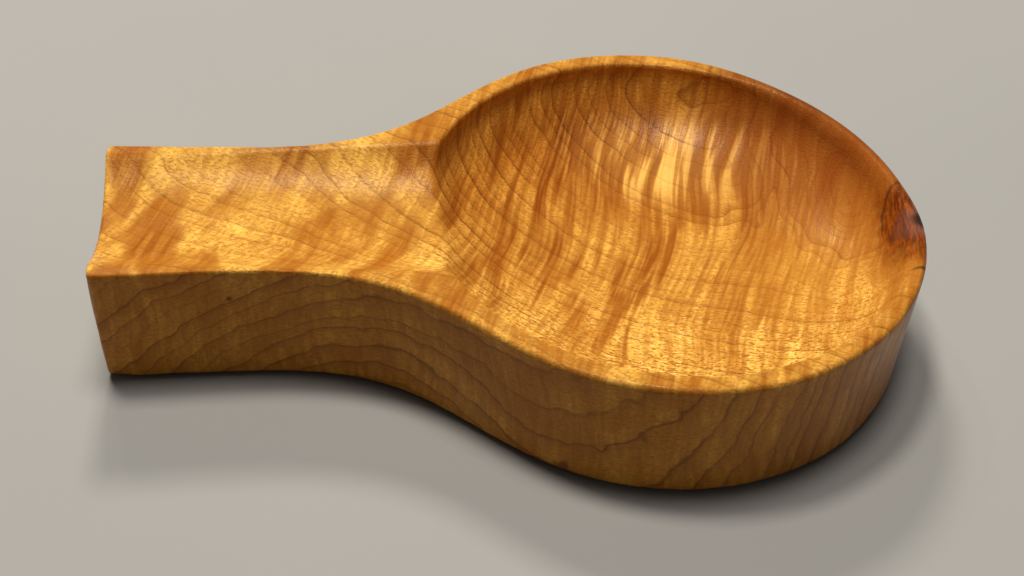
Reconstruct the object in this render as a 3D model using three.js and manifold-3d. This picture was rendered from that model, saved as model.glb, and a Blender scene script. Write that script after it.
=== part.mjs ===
// A carved maple spoon rest: a round dished bowl with a short flared tail, cut
// from one board, standing on five thin rubber pads.
//
// Millimetres, +Z up. The origin is at the middle of the base, +X runs along the
// object from the tail to the bowl's tip, and +Y is across it.

import * as THREE from 'three';
import { mergeVertices } from 'three/addons/utils/BufferGeometryUtils.js';
import Module from 'manifold-3d';

const wasm = await Module();
wasm.setup();

// Overall sizes
const LENGTH = 195;
const BOWL_HALF_WIDTH = 63.5;
const BOWL_HALF_LENGTH = 62.4;
const BODY_HEIGHT = 31.7;
const EDGE_ROUND = 1.2;
const ROUND_STEPS = 4;

// The bowl's oval is centred here, and the tail's end face is this far behind it
const BOWL_X = LENGTH / 2 - BOWL_HALF_LENGTH;
const TAIL_REACH = LENGTH - BOWL_HALF_LENGTH;

// Tail outline: half-widths, and where the waist lies behind the bowl's centre
const TAIL_HALF_WIDTH = 23.9;
const TAIL_CORNER = 1.8;
const TAIL_TAPER = 0.6;
const WAIST_HALF_WIDTH = 23;
const WAIST_REACH = 98.2;

// How far each curve's handle points reach along X
const TAIL_PULL = 17.5;
const WAIST_TAIL_PULL = 11.2;
const WAIST_NECK_PULL = 35.3;
const NECK_PULL = 19.2;

// The neck meets the bowl's oval at this angle, measured from +X
const NECK_ANGLE = THREE.MathUtils.degToRad(126.8);

// Bowl cavity
const RIM_WIDTH = 5.4;
const LIP_ROUND = 1.2;
const BOWL_DEPTH = 22;
const BOWL_STEPS = 14;
const BOWL_SIDES = 72;

// Trough for the spoon's handle: a straight cove that falls towards the bowl
const TROUGH_RADIUS = 36;
const TROUGH_TAIL_DEPTH = 5.6;
const TROUGH_BOWL_DEPTH = 9.5;
const TROUGH_BOWL_REACH = 52;
const TROUGH_OVERRUN = 12;
const TROUGH_SIDES = 84;

// Pads under the base
const PAD_RADIUS = 6;
const PAD_THICKNESS = 1.2;
const PAD_ROUND = 0.4;
const PAD_SIDES = 32;
const TAIL_PAD_INSET = 12;
const TAIL_PAD_SPREAD = 14;
const BOWL_PAD_CIRCLE = 46;
const BOWL_PAD_ANGLE = THREE.MathUtils.degToRad(115);

const BASE_Z = PAD_THICKNESS;
const TOP_Z = BASE_Z + BODY_HEIGHT;

const maple = new THREE.MeshStandardMaterial({ color: 0xc0802f, roughness: 0.32, metalness: 0 });
const rubber = new THREE.MeshStandardMaterial({ color: 0x141414, roughness: 0.8, metalness: 0 });

// A closed three.js geometry as a solid that can be joined and cut
function toSolid(geometry) {
  const bare = geometry.clone();
  bare.deleteAttribute('normal');
  bare.deleteAttribute('uv');
  const merged = mergeVertices(bare, 1e-4);
  const solidMesh = new wasm.Mesh({
    numProp: 3,
    vertProperties: new Float32Array(merged.attributes.position.array),
    triVerts: new Uint32Array(merged.index.array),
  });
  return new wasm.Manifold(solidMesh);
}

function toGeometry(solid) {
  const { vertProperties, triVerts } = solid.getMesh();
  const geometry = new THREE.BufferGeometry();
  geometry.setAttribute('position', new THREE.BufferAttribute(vertProperties, 3));
  geometry.setIndex(new THREE.BufferAttribute(triVerts, 1));
  geometry.computeVertexNormals();
  return geometry;
}

// The outline's lower half, with the bowl's centre at 0, 0: from the middle of the
// tail's end, round its corner, through the waist and neck, to the bowl's tip
function halfOutline() {
  const neckX = BOWL_HALF_LENGTH * Math.cos(NECK_ANGLE);
  const neckY = BOWL_HALF_WIDTH * Math.sin(NECK_ANGLE);
  const ovalSlope = -neckX * BOWL_HALF_WIDTH ** 2 / (neckY * BOWL_HALF_LENGTH ** 2);
  const cornerX = -TAIL_REACH + TAIL_CORNER;
  const cornerY = -TAIL_HALF_WIDTH + TAIL_CORNER;
  const waist = new THREE.Vector2(-WAIST_REACH, -WAIST_HALF_WIDTH);
  const neck = new THREE.Vector2(neckX, -neckY);
  const corner = new THREE.EllipseCurve(cornerX, cornerY, TAIL_CORNER, TAIL_CORNER, Math.PI, 1.5 * Math.PI);
  const tail = new THREE.CubicBezierCurve(
    new THREE.Vector2(cornerX, -TAIL_HALF_WIDTH),
    new THREE.Vector2(cornerX + TAIL_PULL, -TAIL_HALF_WIDTH + TAIL_TAPER),
    new THREE.Vector2(waist.x - WAIST_TAIL_PULL, waist.y),
    waist,
  );
  const shoulder = new THREE.CubicBezierCurve(
    waist,
    new THREE.Vector2(waist.x + WAIST_NECK_PULL, waist.y),
    new THREE.Vector2(neck.x - NECK_PULL, neck.y + NECK_PULL * ovalSlope),
    neck,
  );
  const bowl = new THREE.EllipseCurve(0, 0, BOWL_HALF_LENGTH, BOWL_HALF_WIDTH, -NECK_ANGLE, 0);
  return [
    ...corner.getPoints(4).slice(0, -1),
    ...tail.getPoints(8).slice(0, -1),
    ...shoulder.getPoints(16).slice(0, -1),
    ...bowl.getPoints(32),
  ];
}

// The whole outline from above, counter-clockwise
function outline() {
  const lower = halfOutline();
  const upper = lower.slice(0, -1).reverse().map((point) => new THREE.Vector2(point.x, -point.y));
  return new THREE.Shape([...lower, ...upper]);
}

// The board sawn to the outline, with its upper and lower edges rounded over
function blank() {
  const geometry = new THREE.ExtrudeGeometry(outline(), {
    depth: BODY_HEIGHT - 2 * EDGE_ROUND,
    bevelThickness: EDGE_ROUND,
    bevelSize: EDGE_ROUND,
    bevelOffset: -EDGE_ROUND,
    bevelSegments: ROUND_STEPS,
  });
  geometry.translate(BOWL_X, 0, BASE_Z + EDGE_ROUND);
  return toSolid(geometry);
}

// The bowl's hollow: an oval dish whose wall turns upright at the lip, and the
// lip itself, which rolls outwards into the flat rim
function bowlHollow() {
  const wallRadius = BOWL_HALF_WIDTH - RIM_WIDTH;
  const dishDepth = BOWL_DEPTH - LIP_ROUND;
  const profile = [];
  for (let step = 0; step <= BOWL_STEPS; step += 1) {
    const angle = (step / BOWL_STEPS) * Math.PI / 2;
    const z = TOP_Z - LIP_ROUND - dishDepth * Math.cos(angle);
    profile.push(new THREE.Vector2(wallRadius * Math.sin(angle), z));
  }
  for (let step = 1; step <= ROUND_STEPS; step += 1) {
    const angle = (step / ROUND_STEPS) * Math.PI / 2;
    const radius = wallRadius + LIP_ROUND * (1 - Math.cos(angle));
    profile.push(new THREE.Vector2(radius, TOP_Z - LIP_ROUND + LIP_ROUND * Math.sin(angle)));
  }
  const clear = TOP_Z + LIP_ROUND;
  profile.push(new THREE.Vector2(wallRadius + LIP_ROUND, clear));
  profile.push(new THREE.Vector2(0, clear));
  const geometry = new THREE.LatheGeometry(profile, BOWL_SIDES);
  geometry.rotateX(Math.PI / 2);
  geometry.scale(BOWL_HALF_LENGTH / BOWL_HALF_WIDTH, 1, 1);
  geometry.translate(BOWL_X, 0, 0);
  return toSolid(geometry);
}

// The trough's hollow: a round bar laid along the tail and tipped down to the bowl
function troughHollow() {
  const fall = TROUGH_BOWL_DEPTH - TROUGH_TAIL_DEPTH;
  const run = TAIL_REACH - TROUGH_BOWL_REACH;
  const tilt = Math.atan2(fall, run);
  const length = (TAIL_REACH + TROUGH_OVERRUN) / Math.cos(tilt);
  const geometry = new THREE.CylinderGeometry(TROUGH_RADIUS, TROUGH_RADIUS, length, TROUGH_SIDES);
  geometry.rotateZ(Math.PI / 2);
  geometry.rotateY(tilt);
  const tailX = -LENGTH / 2;
  const middleX = (tailX - TROUGH_OVERRUN + BOWL_X) / 2;
  const middleDepth = TROUGH_TAIL_DEPTH + (middleX - tailX) * Math.tan(tilt);
  geometry.translate(middleX, 0, TOP_Z - middleDepth + TROUGH_RADIUS / Math.cos(tilt));
  return toSolid(geometry);
}

function bodyMesh() {
  const solid = blank().subtract(bowlHollow()).subtract(troughHollow());
  const mesh = new THREE.Mesh(toGeometry(solid), maple);
  mesh.name = 'spoon_rest_body';
  return mesh;
}

// A thin disc with a rounded lower edge; its top face is stuck to the base
function padMesh(name, x, y) {
  const profile = [new THREE.Vector2(0, 0)];
  for (let step = 0; step <= ROUND_STEPS; step += 1) {
    const angle = (step / ROUND_STEPS) * Math.PI / 2;
    const radius = PAD_RADIUS - PAD_ROUND + PAD_ROUND * Math.sin(angle);
    profile.push(new THREE.Vector2(radius, PAD_ROUND - PAD_ROUND * Math.cos(angle)));
  }
  profile.push(new THREE.Vector2(PAD_RADIUS, PAD_THICKNESS));
  profile.push(new THREE.Vector2(0, PAD_THICKNESS));
  const geometry = new THREE.LatheGeometry(profile, PAD_SIDES);
  geometry.rotateX(Math.PI / 2);
  const mesh = new THREE.Mesh(geometry, rubber);
  mesh.name = name;
  mesh.position.set(x, y, 0);
  return mesh;
}

const spoonRest = new THREE.Group();
spoonRest.add(bodyMesh());
spoonRest.add(padMesh('bowl_pad_tip', BOWL_X + BOWL_PAD_CIRCLE, 0));
for (const [sideName, side] of [['left', 1], ['right', -1]]) {
  const bowlPadX = BOWL_X + BOWL_PAD_CIRCLE * Math.cos(BOWL_PAD_ANGLE);
  const bowlPadY = side * BOWL_PAD_CIRCLE * Math.sin(BOWL_PAD_ANGLE);
  spoonRest.add(padMesh(`bowl_pad_${sideName}`, bowlPadX, bowlPadY));
  spoonRest.add(padMesh(`tail_pad_${sideName}`, -LENGTH / 2 + TAIL_PAD_INSET, side * TAIL_PAD_SPREAD));
}

export default spoonRest;
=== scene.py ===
import math
from types import SimpleNamespace

import bpy
import numpy as np
from mathutils import Matrix, Vector


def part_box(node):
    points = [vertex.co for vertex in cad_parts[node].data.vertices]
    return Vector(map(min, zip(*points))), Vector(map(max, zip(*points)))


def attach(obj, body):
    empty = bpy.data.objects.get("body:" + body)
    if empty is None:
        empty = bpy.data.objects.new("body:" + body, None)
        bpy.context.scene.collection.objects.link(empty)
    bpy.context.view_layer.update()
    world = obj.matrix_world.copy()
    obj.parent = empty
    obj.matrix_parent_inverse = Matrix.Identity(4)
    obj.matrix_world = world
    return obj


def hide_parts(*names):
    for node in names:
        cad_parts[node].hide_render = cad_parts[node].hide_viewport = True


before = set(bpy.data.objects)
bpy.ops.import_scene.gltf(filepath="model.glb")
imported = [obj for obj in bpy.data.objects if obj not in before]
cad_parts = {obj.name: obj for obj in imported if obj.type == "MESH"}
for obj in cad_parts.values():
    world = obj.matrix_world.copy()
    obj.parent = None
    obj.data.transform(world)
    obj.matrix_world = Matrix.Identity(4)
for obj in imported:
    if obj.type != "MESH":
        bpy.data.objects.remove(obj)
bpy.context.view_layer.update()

# The body is worked out in millimetres, in the frame's axes, and its mesh is scaled to metres
MM = 0.001

body_low, body_high = [np.array(corner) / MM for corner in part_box("spoon_rest_body")]
TAIL_X = body_low[0]
TIP_X = body_high[0]
BASE_Z = body_low[2]
TOP_Z = body_high[2]
BODY_HEIGHT = TOP_Z - BASE_Z
BOWL_HALF_WIDTH = body_high[1]
BOWL_HALF_LENGTH = BOWL_HALF_WIDTH * 0.983
BOWL_X = TIP_X - BOWL_HALF_LENGTH

# Tail outline, with distances along X counted back from the bowl's centre
TAIL_REACH = BOWL_X - TAIL_X
TAIL_HALF_WIDTH = 23.9
TAIL_CORNER = 1.8
TAIL_TAPER = 0.6
TAIL_PULL = 17.5
WAIST_HALF_WIDTH = 23.0
WAIST_REACH = 98.2
WAIST_TAIL_PULL = 11.2
WAIST_NECK_PULL = 35.3
NECK_PULL = 19.2
NECK_ANGLE = math.radians(126.8)

# Bowl and trough
RIM_WIDTH = 5.4
LIP_ROUND = 1.2
TIP_LIP_ROUND = 4.2
BOWL_DEPTH = 22.0
TROUGH_RADIUS = 36.0
TROUGH_TAIL_DEPTH = 5.6
TROUGH_BOWL_DEPTH = 9.5
TROUGH_BOWL_REACH = 52.0
TROUGH_ROUND = 0.8

# Outer edges, rounder by hand round the bowl than along the tail, and roundest at its tip
TAIL_EDGE_ROUND = 0.7
BOWL_EDGE_ROUND = 1.3
TIP_EDGE_ROUND = 4.0
BASE_EDGE_ROUND = 0.5

# The walls lean in towards the base, most of all on the tail's end face
WALL_LEAN = 0.25
TAIL_END_LEAN = 1.4
TAIL_END_REACH = 10.0
LEAN_POWER = 1.6

# The hand's waver on the walls and in the bowl
HAND_WAVER = 0.07
BOWL_WAVER = 0.09

# The steps that the outline's distances and the carved surface are drawn on, and how often the
# surface's points are then settled onto the shape
OUTLINE_STEP = 0.5
GRID_STEP = 0.8
SETTLING_ROUNDS = 4

# Pads: a little inside the frame's pads, so that they stay in its box
PAD_SIDES = 64
PAD_SHRINK = 0.03

# Camera: its lens, where it looks, from how far, and how it is turned
LENS = 52.9
SENSOR = 36.0
CAMERA_TARGET = (BOWL_X - 34.23, 4.86, BASE_Z)
CAMERA_DISTANCE = 380.3
CAMERA_YAW = math.radians(8.69)
CAMERA_PITCH = math.radians(41.84)
CAMERA_ROLL = math.radians(4.79)

# Stage, in metres
FLOOR_HALF_SIZE = 3.0
LIGHT_TARGET = (0.0, 0.0, 0.02)


def smooth_step(low, high, value):
    t = np.clip((value - low) / (high - low), 0.0, 1.0)
    return t * t * (3.0 - 2.0 * t)


def bezier(points, steps):
    t = np.linspace(0.0, 1.0, steps + 1)[:, None]
    a, b, c, d = [np.array(point) for point in points]
    return (1 - t) ** 3 * a + 3 * t * (1 - t) ** 2 * b + 3 * t**2 * (1 - t) * c + t**3 * d


def ellipse_arc(centre, radii, start, end, steps):
    angle = np.linspace(start, end, steps + 1)
    return np.array(centre) + np.stack([radii[0] * np.cos(angle), radii[1] * np.sin(angle)], axis=1)


def half_outline():
    """The outline's +Y half, from the middle of the tail's end to the bowl's tip."""
    neck = (BOWL_HALF_LENGTH * math.cos(NECK_ANGLE), BOWL_HALF_WIDTH * math.sin(NECK_ANGLE))
    oval_slope = -neck[0] * BOWL_HALF_WIDTH**2 / (neck[1] * BOWL_HALF_LENGTH**2)
    corner = (-TAIL_REACH + TAIL_CORNER, TAIL_HALF_WIDTH - TAIL_CORNER)
    tail_start = (corner[0], TAIL_HALF_WIDTH)
    waist = (-WAIST_REACH, WAIST_HALF_WIDTH)
    parts = [
        np.array([[-TAIL_REACH, 0.0]]),
        ellipse_arc(corner, (TAIL_CORNER, TAIL_CORNER), math.pi, math.pi / 2, 10),
        bezier([
            tail_start,
            (tail_start[0] + TAIL_PULL, TAIL_HALF_WIDTH - TAIL_TAPER),
            (waist[0] - WAIST_TAIL_PULL, waist[1]),
            waist,
        ], 24)[1:],
        bezier([
            waist,
            (waist[0] + WAIST_NECK_PULL, waist[1]),
            (neck[0] - NECK_PULL, neck[1] - NECK_PULL * oval_slope),
            neck,
        ], 60)[1:],
        ellipse_arc((0.0, 0.0), (BOWL_HALF_LENGTH, BOWL_HALF_WIDTH), NECK_ANGLE, 0.0, 150)[1:],
    ]
    return np.concatenate(parts) + np.array([BOWL_X, 0.0])


class OutlineDistance:
    """Signed distance to the outline from above, negative inside, read off a fine table."""

    def __init__(self):
        margin = 6.0
        self.low = np.array([TAIL_X - margin, 0.0])
        count_x = int((TIP_X - TAIL_X + 2 * margin) / OUTLINE_STEP) + 2
        count_y = int((BOWL_HALF_WIDTH + margin) / OUTLINE_STEP) + 2
        x = self.low[0] + OUTLINE_STEP * np.arange(count_x)
        y = self.low[1] + OUTLINE_STEP * np.arange(count_y)
        grid_x, grid_y = np.meshgrid(x, y, indexing="ij")
        line = half_outline()
        nearest = np.full(grid_x.shape, np.inf)
        inside = np.zeros(grid_x.shape, dtype=bool)
        for start, end in zip(line[:-1], line[1:]):
            run = end - start
            along = ((grid_x - start[0]) * run[0] + (grid_y - start[1]) * run[1]) / run.dot(run)
            along = np.clip(along, 0.0, 1.0)
            gap_x = grid_x - start[0] - along * run[0]
            gap_y = grid_y - start[1] - along * run[1]
            nearest = np.minimum(nearest, gap_x**2 + gap_y**2)
            if end[0] > start[0]:
                within = (grid_x >= start[0]) & (grid_x < end[0])
                height = start[1] + (grid_x - start[0]) * run[1] / run[0]
                inside |= within & (grid_y < height)
        self.table = np.sqrt(nearest) * np.where(inside, -1.0, 1.0)

    def __call__(self, x, y):
        place_x = (x - self.low[0]) / OUTLINE_STEP
        place_y = (np.abs(y) - self.low[1]) / OUTLINE_STEP
        cell_x = np.clip(place_x.astype(int), 0, self.table.shape[0] - 2)
        cell_y = np.clip(place_y.astype(int), 0, self.table.shape[1] - 2)
        part_x = place_x - cell_x
        part_y = place_y - cell_y
        lower = self.table[cell_x, cell_y] * (1 - part_x) + self.table[cell_x + 1, cell_y] * part_x
        upper = self.table[cell_x, cell_y + 1] * (1 - part_x) + self.table[cell_x + 1, cell_y + 1] * part_x
        return lower * (1 - part_y) + upper * part_y


def meet(a, b, radius):
    """Both solids a and b hold, and the edge between them is rounded to radius."""
    over_a = np.maximum(a + radius, 0.0)
    over_b = np.maximum(b + radius, 0.0)
    return np.minimum(np.maximum(a, b), -radius) + np.sqrt(over_a**2 + over_b**2)


outline_distance = OutlineDistance()


def top_edge_round(from_bowl, y):
    """Radius of the upper outer edge: small along the tail, large on the far side of the tip."""
    round_bowl = smooth_step(-95.0, -40.0, from_bowl)
    far_tip = smooth_step(10.0, 45.0, from_bowl) * smooth_step(-15.0, 10.0, y)
    radius = TAIL_EDGE_ROUND + (BOWL_EDGE_ROUND - TAIL_EDGE_ROUND) * round_bowl
    return radius + (TIP_EDGE_ROUND - BOWL_EDGE_ROUND) * far_tip


def outer_wall(x, y, z):
    """Distance to the leaning, slightly wavering outer walls, negative inside."""
    share = np.clip((z - BASE_Z) / BODY_HEIGHT, 0.0, 1.0)
    at_tail_end = 1.0 - smooth_step(TAIL_X, TAIL_X + TAIL_END_REACH, x)
    lean = (WALL_LEAN + (TAIL_END_LEAN - WALL_LEAN) * at_tail_end) * (1.0 - share) ** LEAN_POWER
    waver = HAND_WAVER * (1.0 + np.sin(x / 7.3 + y / 11.0) * np.sin(z / 8.0 + y / 9.1 + 0.7))
    return outline_distance(x, y) + lean + waver


def bowl_hollow(from_bowl, y, z):
    """Negative inside the bowl: half an ellipsoid, with an upright wall above its widest level."""
    wall_radius = BOWL_HALF_WIDTH - RIM_WIDTH
    radii = (wall_radius * BOWL_HALF_LENGTH / BOWL_HALF_WIDTH, wall_radius, BOWL_DEPTH - LIP_ROUND)
    offset = (from_bowl, y, np.minimum(z - (TOP_Z - LIP_ROUND), 0.0))
    scaled = np.sqrt(sum((part / radius) ** 2 for part, radius in zip(offset, radii))) + 1e-9
    steep = np.sqrt(sum((part / radius**2) ** 2 for part, radius in zip(offset, radii))) + 1e-9
    carving = BOWL_WAVER * np.sin(from_bowl / 6.1 + 0.4) * np.sin(y / 7.7)
    return scaled * (scaled - 1.0) / steep + carving


def trough_cove(x, y, z):
    """Negative inside the trough: a straight cove that falls towards the bowl and ends inside it."""
    fall = (TROUGH_BOWL_DEPTH - TROUGH_TAIL_DEPTH) / (TAIL_REACH - TROUGH_BOWL_REACH)
    axis_z = TOP_Z + TROUGH_RADIUS - TROUGH_TAIL_DEPTH - fall * (x - TAIL_X)
    cove = np.sqrt(y**2 + ((z - axis_z) * math.cos(math.atan(fall))) ** 2) - TROUGH_RADIUS
    return np.maximum(cove, x - BOWL_X)


def body_field(x, y, z):
    """Negative inside the carved body, zero on its surface, in millimetres."""
    from_bowl = x - BOWL_X
    wall = outer_wall(x, y, z)
    solid = np.where(
        z > BASE_Z + BODY_HEIGHT / 2,
        meet(wall, z - TOP_Z, top_edge_round(from_bowl, y)),
        meet(wall, BASE_Z - z, BASE_EDGE_ROUND),
    )
    lip_round = LIP_ROUND + (TIP_LIP_ROUND - LIP_ROUND) * smooth_step(22.0, 52.0, from_bowl)
    solid = meet(solid, -bowl_hollow(from_bowl, y, z), lip_round)
    return meet(solid, -trough_cove(x, y, z), TROUGH_ROUND)


def surface_net(field, low, step):
    """A closed quad mesh over the zero surface of a field sampled on a grid."""
    inside = field < 0
    cells = tuple(n - 1 for n in field.shape)
    total = np.zeros(cells + (3,))
    count = np.zeros(cells)
    crossings = []
    for axis in range(3):
        first = [slice(None)] * 3
        second = [slice(None)] * 3
        first[axis] = slice(0, -1)
        second[axis] = slice(1, None)
        a = field[tuple(first)]
        b = field[tuple(second)]
        crossed = inside[tuple(first)] != inside[tuple(second)]
        place = np.argwhere(crossed)
        share = (a[crossed] / (a[crossed] - b[crossed]))[:, None]
        point = place + share * np.eye(3)[axis]
        others = [other for other in range(3) if other != axis]
        for back_a in (0, 1):
            for back_b in (0, 1):
                cell = place.copy()
                cell[:, others[0]] -= back_a
                cell[:, others[1]] -= back_b
                np.add.at(total, tuple(cell.T), point)
                np.add.at(count, tuple(cell.T), 1.0)
        crossings.append((axis, others, place, a[crossed] < 0))
    used = count > 0
    number = np.full(cells, -1)
    number[used] = np.arange(used.sum())
    points = total[used] / count[used][:, None] * step + low

    quads = []
    for axis, others, place, leaves in crossings:
        corners = []
        for back_a, back_b in ((0, 0), (1, 0), (1, 1), (0, 1)):
            cell = place.copy()
            cell[:, others[0]] -= back_a
            cell[:, others[1]] -= back_b
            corners.append(number[tuple(cell.T)])
        quad = np.stack(corners, axis=1)
        turn = leaves if axis != 1 else ~leaves
        quads.append(np.where(turn[:, None], quad, quad[:, ::-1]))
    return points, np.concatenate(quads)


def body_surface():
    margin = 2.5 * GRID_STEP
    low = np.array([TAIL_X, -BOWL_HALF_WIDTH, BASE_Z]) - margin
    high = np.array([TIP_X, BOWL_HALF_WIDTH, TOP_Z]) + margin
    axes = [np.arange(a, b + GRID_STEP, GRID_STEP) for a, b in zip(low, high)]
    field = body_field(*np.meshgrid(*axes, indexing="ij"))
    points, quads = surface_net(field, low, GRID_STEP)

    # Settle each point onto the true surface
    for _ in range(SETTLING_ROUNDS):
        slope = field_slope(points)
        length = np.maximum((slope**2).sum(axis=1), 0.25)
        points = points - slope * (body_field(*points.T) / length)[:, None]
    slope = field_slope(points)
    normals = slope / np.linalg.norm(slope, axis=1)[:, None]
    return points, quads, normals


def field_slope(points, probe=0.02):
    rises = [
        body_field(*(points + probe * axis).T) - body_field(*(points - probe * axis).T)
        for axis in np.eye(3)
    ]
    return np.stack(rises, axis=1) / (2 * probe)


def new_mesh_object(name, points, faces, material, normals=None):
    mesh = bpy.data.meshes.new(name)
    mesh.from_pydata([tuple(point) for point in points], [], [tuple(face) for face in faces])
    mesh.shade_smooth()
    if normals is not None:
        mesh.normals_split_custom_set_from_vertices([tuple(normal) for normal in normals])
    mesh.materials.append(material)
    item = bpy.data.objects.new(name, mesh)
    bpy.context.scene.collection.objects.link(item)
    return item


class Nodes:
    """A material's node tree, built from short calls that return output sockets."""

    def __init__(self, name):
        self.material = bpy.data.materials.new(name)
        self.material.use_nodes = True
        self.tree = self.material.node_tree
        self.tree.nodes.clear()

    def plug(self, value, socket):
        if isinstance(value, bpy.types.NodeSocket):
            self.tree.links.new(value, socket)
        else:
            socket.default_value = value

    def math(self, operation, a, b=0.0, c=0.0, clamp=False):
        item = self.tree.nodes.new("ShaderNodeMath")
        item.operation = operation
        item.use_clamp = clamp
        for value, socket in zip((a, b, c), item.inputs):
            self.plug(value, socket)
        return item.outputs[0]

    def vector(self, operation, a, b=(0.0, 0.0, 0.0), scale=None):
        item = self.tree.nodes.new("ShaderNodeVectorMath")
        item.operation = operation
        self.plug(a, item.inputs[0])
        self.plug(b, item.inputs[1])
        if scale is not None:
            self.plug(scale, item.inputs["Scale"])
        gives_number = operation in ("DOT_PRODUCT", "LENGTH", "DISTANCE")
        return item.outputs["Value" if gives_number else "Vector"]

    def spread(self, value, low, high, to_low=0.0, to_high=1.0):
        """A smooth ramp from to_low, where value is low, to to_high, where it is high."""
        item = self.tree.nodes.new("ShaderNodeMapRange")
        item.interpolation_type = "SMOOTHSTEP"
        for part, socket in zip((value, low, high, to_low, to_high), item.inputs):
            self.plug(part, socket)
        return item.outputs[0]

    def noise(self, place, scale=1.0, detail=2.0, roughness=0.5, distortion=0.0, colour=False):
        item = self.tree.nodes.new("ShaderNodeTexNoise")
        self.plug(place, item.inputs["Vector"])
        self.plug(scale, item.inputs["Scale"])
        self.plug(detail, item.inputs["Detail"])
        self.plug(roughness, item.inputs["Roughness"])
        self.plug(distortion, item.inputs["Distortion"])
        return item.outputs["Color" if colour else "Fac"]

    def noise_line(self, value, scale):
        item = self.tree.nodes.new("ShaderNodeTexNoise")
        item.noise_dimensions = "1D"
        self.plug(value, item.inputs["W"])
        self.plug(scale, item.inputs["Scale"])
        self.plug(0.0, item.inputs["Detail"])
        return item.outputs["Fac"]

    def stretched(self, place, along, sizes):
        """Coordinates counted in sizes along three directions, for stretched noise."""
        item = self.tree.nodes.new("ShaderNodeCombineXYZ")
        for axis, size, socket in zip(along, sizes, item.inputs):
            direction = tuple(part / size for part in Vector(axis).normalized())
            self.plug(self.vector("DOT_PRODUCT", place, direction), socket)
        return item.outputs[0]

    def grain_noise(self, place, along, sizes, detail=1.0, roughness=0.5, distortion=0.0):
        """Noise whose blotches have these sizes along three directions."""
        return self.noise(self.stretched(place, along, sizes), 1.0, detail, roughness, distortion)

    def weighted(self, *parts):
        """The sum of (value, weight) pairs."""
        total = 0.0
        for value, weight in parts:
            total = self.math("MULTIPLY_ADD", value, weight, total)
        return total

    def blend(self, share, a, b):
        """The number a where share is 0, turning into b where it is 1."""
        return self.weighted((a, 1.0), (self.math("MULTIPLY", share, self.math("SUBTRACT", b, a)), 1.0))

    def mix(self, share, a, b, blend="MIX"):
        item = self.tree.nodes.new("ShaderNodeMix")
        item.data_type = "RGBA"
        item.blend_type = blend
        item.clamp_factor = True
        self.plug(share, item.inputs["Factor"])
        self.plug(a, item.inputs[6])
        self.plug(b, item.inputs[7])
        return item.outputs[2]

    def bump(self, height, distance, strength, normal=None):
        item = self.tree.nodes.new("ShaderNodeBump")
        self.plug(height, item.inputs["Height"])
        self.plug(distance, item.inputs["Distance"])
        self.plug(strength, item.inputs["Strength"])
        if normal is not None:
            self.plug(normal, item.inputs["Normal"])
        return item.outputs["Normal"]

    def finish(self, **sockets):
        shader = self.tree.nodes.new("ShaderNodeBsdfPrincipled")
        for name, value in sockets.items():
            self.plug(value, shader.inputs[name.replace("_", " ")])
        output = self.tree.nodes.new("ShaderNodeOutputMaterial")
        self.tree.links.new(shader.outputs[0], output.inputs["Surface"])
        return self.material


ALONG = (1.0, 0.0, 0.0)
ACROSS = (0.0, 1.0, 0.0)
UP = (0.0, 0.0, 1.0)

# The wood's figure is placed in millimetres from the bowl's centre, in plan and height.
# Fibres run along GRAIN[0], curl bands along GRAIN[1].
GRAIN = ((0.94, -0.34, 0.05), (0.34, 0.94, 0.0), UP)
RIPPLE_GRAIN = ((0.78, -0.62, 0.0), (0.62, 0.78, 0.0), UP)
KNOT_GRAIN = ((0.15, 1.0, 0.0), (1.0, -0.15, 0.0), UP)

# Growth layers: leaning sheets this far apart, and closer rings round the eye
LAYER_STEP = 7.0
LAYER_RUN = (0.9, 1.5, 0.0)
RING_START = 86.0
RING_RATE = 2.4

# A streaked knot in the bowl's tip with an eye beside it, reddish heartwood behind them, plain
# wood round the eye, and the foot of the far wall, where a painted glare lightens the curl
KNOT = (59.5, -7.5, 30.0)
KNOT_RADII = (6.5, 17.0, 13.0)
EYE = (50.8, 11.0, 23.5)
RED_CENTRE = (58.0, 36.0, 33.0)
QUIET_CENTRE = (47.0, -8.0, 20.0)
# Painted highlight: where the painted glare lies at the far wall's foot
PAINTED_GLARE_CENTRE = (14.0, 37.0, 16.0)
PAINTED_GLARE_RADII = (40.0, 18.0, 40.0)

# A bark pocket and a crack in the rim, and a pin knot in the tail's side
RIM_SPOT = (61.0, -8.2, 31.8)
RIM_CRACK = (56.0, -24.2, 32.6)
PIN_KNOT = (-102.1, -23.5, 24.6)


def colour(red, green, blue):
    return (red, green, blue, 1.0)


# Tones of the wood, and tints that multiply them
CURL_DARK = colour(0.29, 0.075, 0.004)
CURL_LIGHT = colour(1.0, 0.575, 0.098)
CLOUD_TONE = colour(0.46, 0.165, 0.014)
LAYER_TONE = colour(0.30, 0.10, 0.010)
LAYER_SHADE = colour(0.26, 0.075, 0.008)
LAYER_LINE = colour(0.12, 0.028, 0.003)
RIPPLE_TONE = colour(0.34, 0.115, 0.010)
FIBRE_TONE = colour(0.28, 0.09, 0.010)
# Painted highlight: bright glints drawn into the colour in place of the lamps' sparkle
PAINTED_GLINT_TONE = colour(1.0, 0.68, 0.22)
PORE_TONE = colour(0.27, 0.072, 0.006)
QUIET_TONE = colour(0.50, 0.19, 0.018)
# Painted highlight: the tone of the painted glare at the far wall's foot
PAINTED_GLARE_TONE = colour(1.0, 0.56, 0.13)
# Painted shade: a darkening tint for the bowl's far wall, which turns away from the lamps
PAINTED_HOLLOW_SHADE = colour(0.56, 0.29, 0.08)
SIDE_TINT = colour(1.04, 0.90, 0.72)
HEARTWOOD = colour(0.22, 0.046, 0.006)
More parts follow.
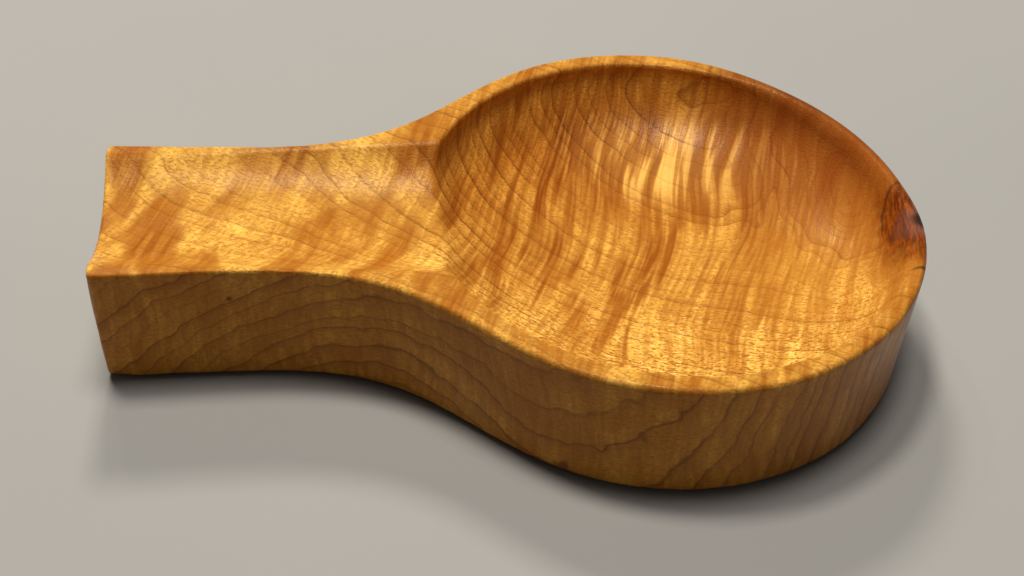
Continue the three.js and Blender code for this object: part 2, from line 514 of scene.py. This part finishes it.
# Partly the heartwood's own red, partly painted shade on the rim's rounded outer side
HEARTWOOD_AND_SHADE_EDGE = colour(0.11, 0.024, 0.005)
KNOT_HALO = colour(0.30, 0.080, 0.008)
KNOT_DARK = colour(0.088, 0.013, 0.001)
KNOT_LIGHT = colour(0.29, 0.056, 0.003)
KNOT_OUTLINE = colour(0.04, 0.010, 0.004)
PURPLE_GREY_TINT = colour(0.14, 0.070, 0.062)
BARK = colour(0.014, 0.008, 0.006)
SHEEN_TINT = colour(1.0, 0.60, 0.20)

# Tones of the pads and the floor
RUBBER = colour(0.018, 0.018, 0.018)
RUBBER_DUST = colour(0.055, 0.052, 0.048)
FLOOR_DARK = colour(0.29, 0.286, 0.274)
FLOOR_LIGHT = colour(0.315, 0.31, 0.297)


def drift(n, place, size, detail, reach):
    """A random shift of up to about half of reach, which changes over the given size."""
    cloud = n.noise(place, 1 / size, detail, 0.55, colour=True)
    return n.vector("SCALE", n.vector("SUBTRACT", cloud, (0.5, 0.5, 0.5)), scale=reach)


def oval_distance(n, place, centre, radii):
    """Distance from centre, counted in radii, so that it is 1 on the oval's surface."""
    shares = tuple(1 / radius for radius in radii)
    return n.vector("LENGTH", n.vector("MULTIPLY", n.vector("SUBTRACT", place, centre), shares))


def eye_distance(n, bent):
    """Distance from the eye, measured short towards the far rim, so that rings stay open there."""
    offset = n.vector("SUBTRACT", bent, EYE)
    across = n.vector("DOT_PRODUCT", offset, ACROSS)
    across = n.math("MAXIMUM", n.math("MULTIPLY", across, 0.22), n.math("MULTIPLY", across, -0.8))
    rest = n.vector("LENGTH", n.vector("MULTIPLY", offset, (1.2, 0.0, 0.8)))
    squares = n.math("ADD", n.math("MULTIPLY", across, across), n.math("MULTIPLY", rest, rest))
    uneven = n.spread(n.noise(bent, 1 / 13.0, 0.0), 0.25, 0.75, 0.85, 1.15)
    return n.math("MULTIPLY", n.math("SQRT", squares), uneven)


def growth_layers(n, bent, from_eye, firm):
    """Line, shade and own tone of the growth layers: leaning sheets, with rings round the eye."""
    run = n.vector("DOT_PRODUCT", bent, LAYER_RUN)
    lean = n.spread(n.vector("DOT_PRODUCT", bent, (1.0, -1.0, 0.0)), -30.0, 75.0, 1.2, 0.25)
    height = n.vector("DOT_PRODUCT", n.vector("SUBTRACT", bent, (0.0, 0.0, 18.0)), UP)
    sheets = n.math("SUBTRACT", run, n.math("MULTIPLY", lean, height))
    rings = n.math("MULTIPLY_ADD", from_eye, -RING_RATE, RING_START)
    sheets = n.blend(n.spread(from_eye, 34.0, 14.0), sheets, rings)
    layer = n.math("DIVIDE", sheets, LAYER_STEP)
    layer = n.math("ADD", layer, n.math("MULTIPLY", n.noise_line(layer, 0.4), 1.6))
    inside = n.math("FRACT", layer)
    number = n.math("FLOOR", layer)
    strength = n.spread(n.noise_line(number, 3.7), 0.38, 0.62, 0.10, 1.0)
    strength = n.math("MAXIMUM", strength, firm)
    fade = n.spread(n.noise(bent, 1 / 9.0, 1.0), 0.35, 0.55, 0.55, 1.0)
    line = n.spread(n.math("PINGPONG", inside, 0.5), 0.085, 0.012)
    line = n.math("MULTIPLY", n.math("MULTIPLY", line, strength), fade)
    shade = n.math("MULTIPLY", n.math("POWER", n.math("SUBTRACT", 1.0, inside), 2.4), strength)
    own = n.spread(n.noise_line(number, 7.3), 0.35, 0.65)
    return line, shade, own


def curl_bands(n, swayed, in_bowl, calm):
    """Brightness of the curl, 0 to 1: tight bands in the bowl, broad patches on the tail."""
    broad = n.grain_noise(swayed, GRAIN, (10.0, 26.0, 30.0), detail=1.5, distortion=0.6)
    tight = n.grain_noise(swayed, GRAIN, (4.6, 38.0, 30.0), distortion=0.12)
    narrow = n.grain_noise(swayed, GRAIN, (1.8, 24.0, 15.0), distortion=0.08)
    threads = n.grain_noise(swayed, GRAIN, (0.95, 14.0, 8.0), detail=0.0)
    broad = n.blend(calm, n.spread(broad, 0.38, 0.62), 0.5)
    tight = n.blend(calm, n.spread(tight, 0.41, 0.62), 0.5)
    narrow = n.spread(narrow, 0.41, 0.64)
    threads = n.spread(threads, 0.42, 0.66)
    bowl = n.weighted((tight, 0.44), (narrow, 0.32), (threads, 0.24))
    tail = n.weighted((broad, 0.74), (narrow, 0.17), (threads, 0.09))
    return n.blend(in_bowl, tail, bowl)


def wood_zones(n, place, turned):
    """Shares, 0 to 1, of the bowl, the tail and the outer sides, and of the bowl's own walls."""
    upright = n.spread(n.vector("DOT_PRODUCT", turned, UP), 0.30, 0.05)
    from_centre = n.vector("LENGTH", n.vector("MULTIPLY", place, (1.0, 1.0, 0.0)))
    in_bowl = n.math("MULTIPLY", n.spread(from_centre, 70.0, 46.0), n.math("SUBTRACT", 1.0, upright))
    facing_near = n.vector("DOT_PRODUCT", turned, (0.3, -0.95, 0.0))
    facing_far = n.vector("DOT_PRODUCT", turned, ACROSS)
    return SimpleNamespace(
        upright=upright,
        in_bowl=in_bowl,
        on_tail=n.spread(from_centre, 46.0, 70.0),
        on_wall=n.spread(from_centre, 30.0, 48.0),
        far_wall=n.math("MULTIPLY", n.spread(facing_near, -0.42, 0.8), in_bowl),
        near_wall=n.math("MULTIPLY", n.spread(facing_far, -0.05, 0.4), in_bowl),
    )


def growth_figure(n, place, bent, zones, quiet):
    """The growth layers, drawn firmly on the far wall, round the eye and on the outer sides."""
    from_eye = eye_distance(n, bent)
    side = n.spread(n.vector("DOT_PRODUCT", place, ALONG), -120.0, -75.0, 0.05, 0.55)
    side = n.math("MULTIPLY", zones.upright, side)
    firm = n.math("MAXIMUM", n.math("MULTIPLY", zones.far_wall, 0.75), side)
    firm = n.math("MAXIMUM", firm, n.spread(from_eye, 15.0, 8.0, 0.0, 0.7))
    jagged = n.vector("SCALE", drift(n, place, 9.0, 2.0, 3.2), scale=zones.upright)
    line, shade, own = growth_layers(n, n.vector("ADD", bent, jagged), from_eye, firm)
    line = n.math("MULTIPLY", line, n.spread(zones.on_wall, 0.0, 1.0, 0.35, 1.0))
    faint = n.math("MAXIMUM", n.math("SUBTRACT", zones.on_tail, zones.upright), quiet)
    line = n.math("MULTIPLY", line, n.spread(faint, 0.0, 1.0, 1.0, 0.65))
    return line, shade, own


def tail_ripple(n, rippled, place, zones):
    """Fine ripples on the tail's top, strongest along its right side."""
    ripple = n.grain_noise(rippled, RIPPLE_GRAIN, (0.85, 4.0, 3.5), distortion=0.8)
    right_side = n.spread(n.vector("DOT_PRODUCT", place, ACROSS), 12.0, -6.0, 0.35, 1.0)
    ripple = n.math("MULTIPLY", n.spread(ripple, 0.43, 0.58), n.math("MULTIPLY", zones.on_tail, right_side))
    return n.math("MULTIPLY", ripple, n.spread(zones.upright, 0.0, 1.0, 1.0, 0.45))


def wood_figure(n, place, bent, slow, zones):
    """Everything drawn in the board: layers, curl, ripple, fibres, pores, clouds, and painted glints and
    glare.
    """
    swayed = n.vector("ADD", place, n.vector("SCALE", slow, scale=11.0))
    rippled = n.vector("ADD", swayed, drift(n, place, 7.0, 1.0, 3.0))
    quiet = n.spread(n.vector("DISTANCE", bent, QUIET_CENTRE), 36.0, 16.0)
    line, shade, own = growth_figure(n, place, bent, zones, quiet)
    calm = n.math("MULTIPLY", n.math("MAXIMUM", quiet, zones.upright), 0.75)
    band = curl_bands(n, swayed, zones.in_bowl, calm)
    pores = n.grain_noise(place, GRAIN, (1.15, 0.58, 0.58), roughness=0.6)
    # Painted highlight: the pattern of the painted glints
    painted_glints = n.grain_noise(place, GRAIN, (1.5, 0.55, 0.55), detail=0.0)
    return SimpleNamespace(
        quiet=quiet,
        line=line,
        shade=shade,
        own=own,
        # Painted light: the curl is drawn brighter on the bowl's near wall, which faces the lamps behind
        band=n.math("ADD", band, n.math("MULTIPLY", zones.near_wall, 0.25), clamp=True),
        ripple=tail_ripple(n, rippled, place, zones),
        fibres=n.grain_noise(rippled, GRAIN, (2.6, 0.36, 0.36), roughness=0.6),
        pores=n.spread(pores, 0.515, 0.605),
        painted_glints=n.spread(painted_glints, 0.53, 0.70),
        cloudy=n.noise(place, 1 / 15.0, 3.0, 0.55),
        # Painted highlight: the painted glare at the far wall's foot
        painted_glare=n.spread(oval_distance(n, bent, PAINTED_GLARE_CENTRE, PAINTED_GLARE_RADII), 1.0, 0.25),
    )


def board_tone(n, zones, figure):
    """The board's own colour, before its knot and marks."""
    tone = n.mix(figure.band, CURL_DARK, CURL_LIGHT)
    tone = n.mix(n.spread(figure.cloudy, 0.35, 0.7, 0.0, 0.45), tone, CLOUD_TONE)
    own_share = n.spread(zones.upright, 0.0, 1.0, 0.16, 0.22)
    tone = n.mix(n.math("MULTIPLY", figure.own, own_share), tone, LAYER_TONE)
    shade_share = n.weighted((zones.far_wall, 0.36), (zones.upright, 0.24), (0.44, 1.0))
    tone = n.mix(n.math("MULTIPLY", figure.shade, shade_share), tone, LAYER_SHADE)
    tone = n.mix(n.math("MULTIPLY", figure.ripple, 0.46), tone, RIPPLE_TONE)
    tone = n.mix(n.math("MULTIPLY", n.spread(figure.fibres, 0.40, 0.68), 0.28), tone, FIBRE_TONE)

    # Painted glints, drawn in place of highlights, and pores show most where the curl is bright and on the
    # bowl's near wall
    on_bright = n.spread(figure.band, 0.4, 1.0, 0.05, 0.55)
    painted_glint_share = n.math("MULTIPLY", on_bright, n.spread(zones.near_wall, 0.0, 0.6, 0.35, 1.0))
    tone = n.mix(n.math("MULTIPLY", figure.painted_glints, painted_glint_share), tone, PAINTED_GLINT_TONE)
    pore_share = n.weighted((n.spread(figure.band, 0.3, 1.0, 0.22, 0.42), 1.0), (zones.near_wall, 0.45))
    tone = n.mix(n.math("MULTIPLY", figure.pores, pore_share), tone, PORE_TONE)
    tone = n.mix(n.math("MULTIPLY", figure.quiet, 0.3), tone, QUIET_TONE)

    # Painted shade darkens the bowl's far wall, and a painted glare lightens its foot through the curl
    tone = n.mix(zones.far_wall, tone, n.mix(1.0, tone, PAINTED_HOLLOW_SHADE, "MULTIPLY"))
    painted_glare_share = n.math("MULTIPLY", figure.painted_glare, n.spread(figure.band, 0.30, 0.85, 0.08, 0.72))
    tone = n.mix(painted_glare_share, tone, PAINTED_GLARE_TONE)
    tone = n.mix(zones.upright, tone, n.mix(1.0, tone, SIDE_TINT, "MULTIPLY"))
    line_share = n.weighted((zones.far_wall, 0.25), (0.60, 1.0))
    return n.mix(n.math("MULTIPLY", figure.line, line_share), tone, LAYER_LINE)


def redden(n, tone, bent):
    """Reddish heartwood at the bowl's tip, and a dark red rim edge that is partly painted shade on its
    rounded outer side.
    """
    red = n.spread(n.vector("DISTANCE", bent, RED_CENTRE), 52.0, 14.0)
    tone = n.mix(n.math("MULTIPLY", red, 0.82), tone, HEARTWOOD)
    # Painted shade, with the heartwood's red, along the rim's rounded outer side
    outer = n.spread(n.vector("LENGTH", n.vector("MULTIPLY", bent, (1.017, 1.0, 0.0))), 57.5, 62.0)
    return n.mix(n.math("MULTIPLY", n.math("MULTIPLY", outer, red), 0.7), tone, HEARTWOOD_AND_SHADE_EDGE)


def add_knot(n, tone, bent):
    """A streaked knot with a halo, a dark line on its inner side and a purple-grey tint round its bark
    pocket.
    """
    out = oval_distance(n, bent, KNOT, KNOT_RADII)
    ragged = n.vector("ADD", bent, drift(n, bent, 4.5, 2.0, 6.0))
    ragged_out = oval_distance(n, ragged, KNOT, KNOT_RADII)
    streaks = n.grain_noise(bent, KNOT_GRAIN, (6.0, 0.7, 1.6), detail=2.0, roughness=0.6, distortion=0.5)
    core = n.mix(n.spread(streaks, 0.38, 0.68), KNOT_DARK, KNOT_LIGHT)
    tone = n.mix(n.spread(ragged_out, 2.3, 1.0, 0.0, 0.5), tone, KNOT_HALO)
    tone = n.mix(n.math("MULTIPLY", n.spread(ragged_out, 1.35, 0.65), 0.92), tone, core)
    outline = n.spread(n.math("ABSOLUTE", n.math("SUBTRACT", out, 0.90)), 0.045, 0.010)
    inner_side = n.spread(n.vector("DOT_PRODUCT", bent, ACROSS), -8.0, -2.0)
    tone = n.mix(n.math("MULTIPLY", n.math("MULTIPLY", outline, inner_side), 0.55), tone, KNOT_OUTLINE)
    # A purple-grey tint round the bark pocket, beside the rim's lip
    purple_tint = n.spread(n.vector("DISTANCE", ragged, RIM_SPOT), 8.5, 3.0)
    return n.mix(n.math("MULTIPLY", purple_tint, 0.55), tone, PURPLE_GREY_TINT)


def small_marks(n, place, bent):
    """The near-black marks: the bark pocket, the crack and the pin knot."""
    spot = n.spread(n.vector("DISTANCE", bent, RIM_SPOT), 4.2, 1.8)
    crack_place = n.vector("MULTIPLY", n.vector("SUBTRACT", bent, RIM_CRACK), (0.34, 1.15, 0.4))
    crack = n.spread(n.vector("LENGTH", crack_place), 1.1, 0.5)
    pin = n.spread(n.vector("DISTANCE", place, PIN_KNOT), 1.25, 0.5)
    return n.math("MAXIMUM", n.math("MAXIMUM", spot, crack), pin)


def wood_relief(n, figure):
    """The curl's waves tilt the fibres, and pores and lines are cut in slightly."""
    cuts = n.weighted(
        (figure.pores, -1.0),
        (figure.line, -0.35),
        (figure.fibres, 0.35),
        (figure.ripple, -0.5),
    )
    wood = n.bump(cuts, 0.00006, 0.55, n.bump(figure.band, 0.0009, 0.36))
    polish = n.bump(cuts, 0.00004, 0.3, n.bump(figure.band, 0.0009, 0.14))
    return wood, polish


def maple_material():
    n = Nodes("figured_maple")
    where = n.tree.nodes.new("ShaderNodeTexCoord").outputs["Object"]
    turned = n.tree.nodes.new("ShaderNodeTexCoord").outputs["Normal"]
    place = n.vector("SUBTRACT", n.vector("SCALE", where, scale=1.0 / MM), (BOWL_X, 0.0, 0.0))
    slow = drift(n, place, 42.0, 1.0, 1.0)
    bent = n.vector("ADD", place, n.vector("SCALE", slow, scale=9.0))
    bent = n.vector("ADD", bent, drift(n, place, 6.0, 2.0, 1.5))

    zones = wood_zones(n, place, turned)
    figure = wood_figure(n, place, bent, slow, zones)
    marks = small_marks(n, place, bent)
    tone = board_tone(n, zones, figure)
    tone = redden(n, tone, bent)
    tone = add_knot(n, tone, bent)
    tone = n.mix(n.math("MULTIPLY", marks, 0.92), tone, BARK)

    wood, polish = wood_relief(n, figure)
    rough = n.spread(figure.cloudy, 0.3, 0.7, 0.34, 0.46)
    return n.finish(
        Base_Color=tone,
        Roughness=n.math("ADD", rough, n.math("MULTIPLY", marks, 0.2)),
        Normal=wood,
        IOR=1.42,
        Specular_Tint=SHEEN_TINT,
        Coat_Weight=n.spread(zones.in_bowl, 0.0, 1.0, 0.15, 0.17),
        Coat_Roughness=0.20,
        Coat_IOR=1.38,
        Coat_Normal=polish,
    )


def rubber_material():
    n = Nodes("pad_rubber")
    where = n.tree.nodes.new("ShaderNodeTexCoord").outputs["Object"]
    place = n.vector("SCALE", where, scale=1.0 / MM)
    grit = n.noise(place, 3.0, 3.0, 0.6)
    dust = n.noise(place, 0.35, 2.0, 0.5)
    dusty = n.spread(dust, 0.4, 0.75, 0.0, 0.6)
    return n.finish(
        Base_Color=n.mix(dusty, RUBBER, RUBBER_DUST),
        Roughness=n.spread(grit, 0.3, 0.7, 0.62, 0.85),
        Normal=n.bump(grit, 0.0001, 0.3),
    )


def floor_material():
    n = Nodes("pale_floor")
    where = n.tree.nodes.new("ShaderNodeTexCoord").outputs["Object"]
    cloudy = n.noise(where, 6.0, 3.0, 0.5)
    return n.finish(Base_Color=n.mix(cloudy, FLOOR_DARK, FLOOR_LIGHT), Roughness=0.9)


def build_body(material):
    points, quads, normals = body_surface()
    body = new_mesh_object("carved_body", points * MM, quads, material, normals)
    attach(body, "root")
    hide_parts("spoon_rest_body")


def build_pad(node, material):
    """A rubber disc with a slightly dished lower face and a soft edge, lathed about its own axis."""
    low, high = [np.array(corner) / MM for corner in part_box(node)]
    centre = (low + high) / 2
    radius = (high[0] - low[0]) / 2 - PAD_SHRINK
    bottom, top = low[2], high[2]
    profile = [
        (radius * 0.30, bottom + 0.10),
        (radius * 0.50, bottom + 0.02),
        (radius * 0.62, bottom),
        (radius * 0.84, bottom),
        (radius * 0.92, bottom + 0.05),
        (radius * 0.965, bottom + 0.18),
        (radius * 0.985, bottom + 0.38),
        (radius * 0.99, top - 0.22),
        (radius, top - 0.20),
        (radius, top - 0.02),
    ]
    angles = 2 * math.pi * np.arange(PAD_SIDES) / PAD_SIDES
    points = [(centre[0], centre[1], bottom + 0.12)]
    for ring_radius, z in profile:
        for angle in angles:
            x = centre[0] + ring_radius * math.cos(angle)
            y = centre[1] + ring_radius * math.sin(angle)
            points.append((x, y, z))
    points.append((centre[0], centre[1], top - 0.02))
    faces = []
    for side in range(PAD_SIDES):
        turn = (side + 1) % PAD_SIDES
        faces.append((0, 1 + turn, 1 + side))
        for ring in range(len(profile) - 1):
            start = 1 + ring * PAD_SIDES
            above = start + PAD_SIDES
            faces.append((start + side, start + turn, above + turn, above + side))
        last = 1 + (len(profile) - 1) * PAD_SIDES
        faces.append((last + side, last + turn, len(points) - 1))
    pad = new_mesh_object(node.replace("_pad", "_rubber_pad"), np.array(points) * MM, faces, material)
    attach(pad, "root")
    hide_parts(node)


def build_floor():
    reach = FLOOR_HALF_SIZE
    corners = [(-reach, -reach, 0.0), (reach, -reach, 0.0), (reach, reach, 0.0), (-reach, reach, 0.0)]
    floor = new_mesh_object("floor", corners, [(0, 1, 2, 3)], floor_material())


def add_area_light(name, azimuth, elevation, distance, size, power, tint, mirrored=True):
    """A round lamp that shines at the object; azimuth 0 is behind it, positive towards +X."""
    light = bpy.data.lights.new(name, "AREA")
    light.shape = "DISK"
    light.size = size
    light.energy = power
    light.color = tint
    item = bpy.data.objects.new(name, light)
    bpy.context.scene.collection.objects.link(item)
    turn, lift = math.radians(azimuth), math.radians(elevation)
    away = Vector((math.sin(turn) * math.cos(lift), math.cos(turn) * math.cos(lift), math.sin(lift)))
    item.location = Vector(LIGHT_TARGET) + away * distance
    item.rotation_euler = away.to_track_quat("Z", "Y").to_euler()
    item.visible_glossy = mirrored


def build_lights():
    add_area_light(
        "key", azimuth=-45.0, elevation=75.0, distance=1.3, size=0.22,
        power=10.8, tint=(1.0, 0.94, 0.85), mirrored=False,
    )
    add_area_light(
        "top", azimuth=30.0, elevation=85.5, distance=1.3, size=0.32,
        power=7.4, tint=(1.0, 0.96, 0.90),
    )
    add_area_light(
        "back", azimuth=-6.0, elevation=47.0, distance=1.6, size=0.28,
        power=16.3, tint=(1.0, 0.95, 0.87), mirrored=False,
    )
    add_area_light(
        "window", azimuth=-20.0, elevation=44.0, distance=1.6, size=0.12,
        power=1.8, tint=(1.0, 0.96, 0.90),
    )
    world = bpy.data.worlds.new("studio")
    world.use_nodes = True
    background = world.node_tree.nodes["Background"]
    background.inputs["Color"].default_value = (1.0, 0.95, 0.88, 1.0)
    background.inputs["Strength"].default_value = 0.07
    bpy.context.scene.world = world


def build_camera():
    across = Vector((math.cos(CAMERA_YAW), -math.sin(CAMERA_YAW), 0.0))
    ahead = Vector((math.sin(CAMERA_YAW), math.cos(CAMERA_YAW), 0.0))
    forward = ahead * math.cos(CAMERA_PITCH) - Vector(UP) * math.sin(CAMERA_PITCH)
    upwards = across.cross(forward)
    right = math.cos(CAMERA_ROLL) * across + math.sin(CAMERA_ROLL) * upwards
    above = math.cos(CAMERA_ROLL) * upwards - math.sin(CAMERA_ROLL) * across
    camera = bpy.data.objects.new("camera", bpy.data.cameras.new("camera"))
    camera.data.lens = LENS
    camera.data.sensor_width = SENSOR
    camera.data.clip_start = 0.01
    bpy.context.scene.collection.objects.link(camera)
    place = Matrix((right, above, -forward)).transposed().to_4x4()
    place.translation = (Vector(CAMERA_TARGET) - forward * CAMERA_DISTANCE) * MM
    camera.matrix_world = place
    bpy.context.scene.camera = camera


build_camera()
build_lights()
build_floor()
build_body(maple_material())
rubber = rubber_material()
for pad_node in ("bowl_pad_tip", "bowl_pad_left", "bowl_pad_right", "tail_pad_left", "tail_pad_right"):
    build_pad(pad_node, rubber)

bpy.context.scene.view_settings.view_transform = "Standard"
